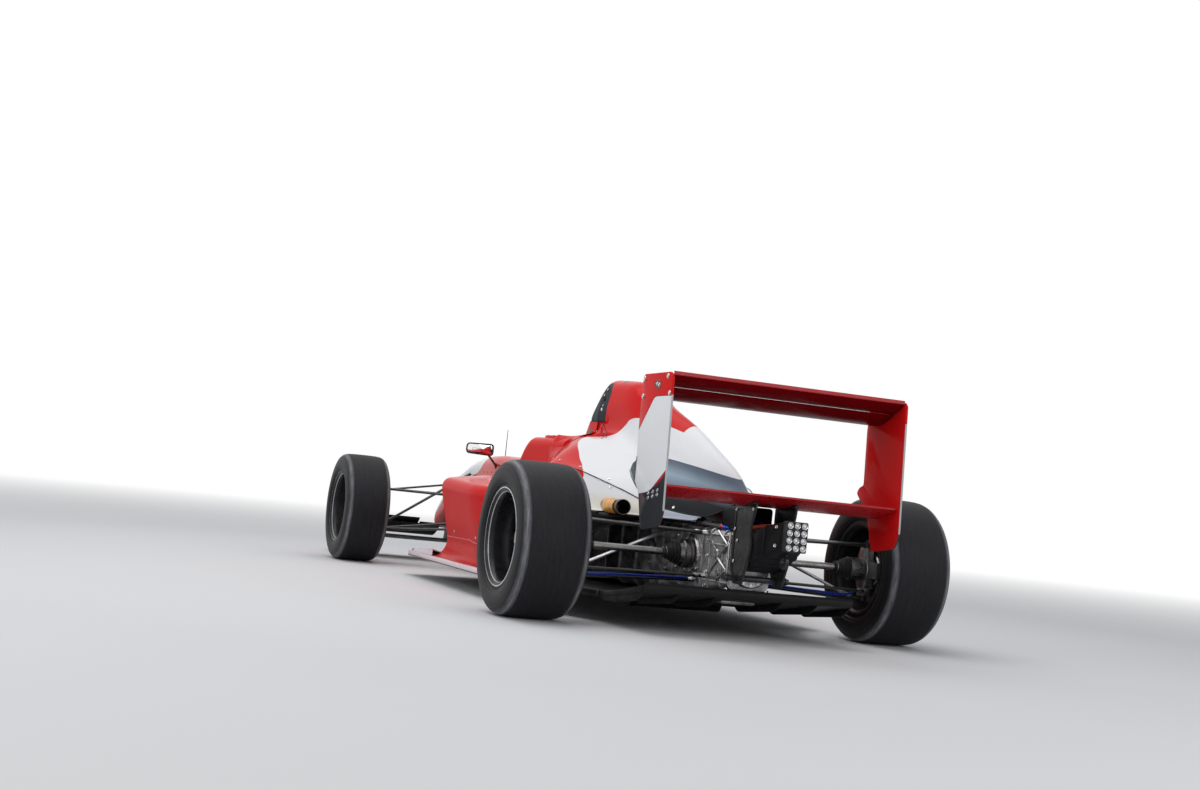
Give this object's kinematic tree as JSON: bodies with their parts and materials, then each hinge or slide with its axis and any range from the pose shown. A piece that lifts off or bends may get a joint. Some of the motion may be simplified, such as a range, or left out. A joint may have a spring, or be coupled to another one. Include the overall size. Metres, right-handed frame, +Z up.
{
  "type": "open-wheel racing car",
  "caption": "Open-wheel single-seat racing car with front and rear wings, airbox, sidepods, steering and four turning wheels, empty of its driver",
  "frame": {"origin": "On the ground under the middle of the car's length, on the centreline", "axes": "+X forward, +Y to the car's left, +Z up"},
  "size_m": [4.27, 1.747, 0.9807],
  "materials": {
    "body_paint": "gloss",
    "wing_paint": "gloss",
    "carbon": "satin",
    "tyre_rubber": "matte",
    "wheel_paint": "satin",
    "painted_steel": "satin",
    "bare_steel": "satin",
    "casting": "matte",
    "aluminium": "satin",
    "black_plastic": "matte",
    "padding": "matte",
    "lamp": "gloss"
  },
  "bodies": {
    "chassis": {"monocoque": "body_paint", "nose_cone": "body_paint", "front_wing": "carbon", "front_wing_endplates": "carbon", "floor": "carbon", "diffuser": "carbon", "sidepod_left": "body_paint", "sidepod_right": "body_paint", "radiators": "aluminium", "engine_cover": "body_paint", "roll_hoop": "painted_steel", "headrest": "padding", "seat": "carbon", "dashboard": "carbon", "rack_housing": "casting", "mirrors": "body_paint", "aerial": "black_plastic", "engine": "casting", "gearbox": "casting", "exhaust": "bare_steel", "crash_structure": "carbon", "rain_light": "lamp", "wing_pylons": "painted_steel", "beam_wing": "wing_paint", "rear_wing": "wing_paint", "rear_wing_endplates": "wing_paint", "front_wishbones": "painted_steel", "rear_wishbones": "painted_steel", "rear_uprights": "casting"},
    "steering_column": {"steering_wheel": "black_plastic"},
    "rack": {"steering_rack": "bare_steel"},
    "knuckle_left": {"front_upright_left": "casting"},
    "knuckle_right": {"front_upright_right": "casting"},
    "front_wheel_left": {"front_tyre_left": "tyre_rubber", "front_rim_left": "wheel_paint", "front_hub_left": "bare_steel"},
    "front_wheel_right": {"front_tyre_right": "tyre_rubber", "front_rim_right": "wheel_paint", "front_hub_right": "bare_steel"},
    "rear_wheel_left": {"rear_tyre_left": "tyre_rubber", "rear_rim_left": "wheel_paint", "rear_hub_left": "bare_steel"},
    "rear_wheel_right": {"rear_tyre_right": "tyre_rubber", "rear_rim_right": "wheel_paint", "rear_hub_right": "bare_steel"}
  },
  "joints": [
    {"name": "steering_wheel_turn", "type": "hinge", "parent": "chassis", "child": "steering_column", "pos_m": [0.405, 0, 0.5], "axis": [-0.9978, 0, 0.0656], "range_deg": [-160, 160]},
    {"name": "rack_slide", "type": "slide", "parent": "chassis", "child": "rack", "axis": [0, 1, 0], "range_m": [-0.02375, 0.02375]},
    {"name": "front_left_steer", "type": "hinge", "parent": "chassis", "child": "knuckle_left", "pos_m": [1.255, 0.695, 0.27], "axis": [0, 0, 1], "range_deg": [-16.01, 16.01]},
    {"name": "front_left_spin", "type": "hinge", "parent": "knuckle_left", "child": "front_wheel_left", "pos_m": [1.255, 0.755, 0.27], "axis": [0, 1, 0], "continuous": true},
    {"name": "rear_left_spin", "type": "hinge", "parent": "chassis", "child": "rear_wheel_left", "pos_m": [-1.495, 0.7375, 0.285], "axis": [0, 1, 0], "continuous": true},
    {"name": "front_right_steer", "type": "hinge", "parent": "chassis", "child": "knuckle_right", "pos_m": [1.255, -0.695, 0.27], "axis": [0, 0, 1], "range_deg": [-16.01, 16.01]},
    {"name": "front_right_spin", "type": "hinge", "parent": "knuckle_right", "child": "front_wheel_right", "pos_m": [1.255, -0.755, 0.27], "axis": [0, 1, 0], "continuous": true},
    {"name": "rear_right_spin", "type": "hinge", "parent": "chassis", "child": "rear_wheel_right", "pos_m": [-1.495, -0.7375, 0.285], "axis": [0, 1, 0], "continuous": true}
  ],
  "couplings": [
    {"joint": "front_left_steer", "follows": "steering_wheel_turn", "ratio": 0.1},
    {"joint": "front_right_steer", "follows": "steering_wheel_turn", "ratio": 0.1},
    {"joint": "rack_slide", "follows": "steering_wheel_turn", "m_per_rad": 0.0085}
  ]
}
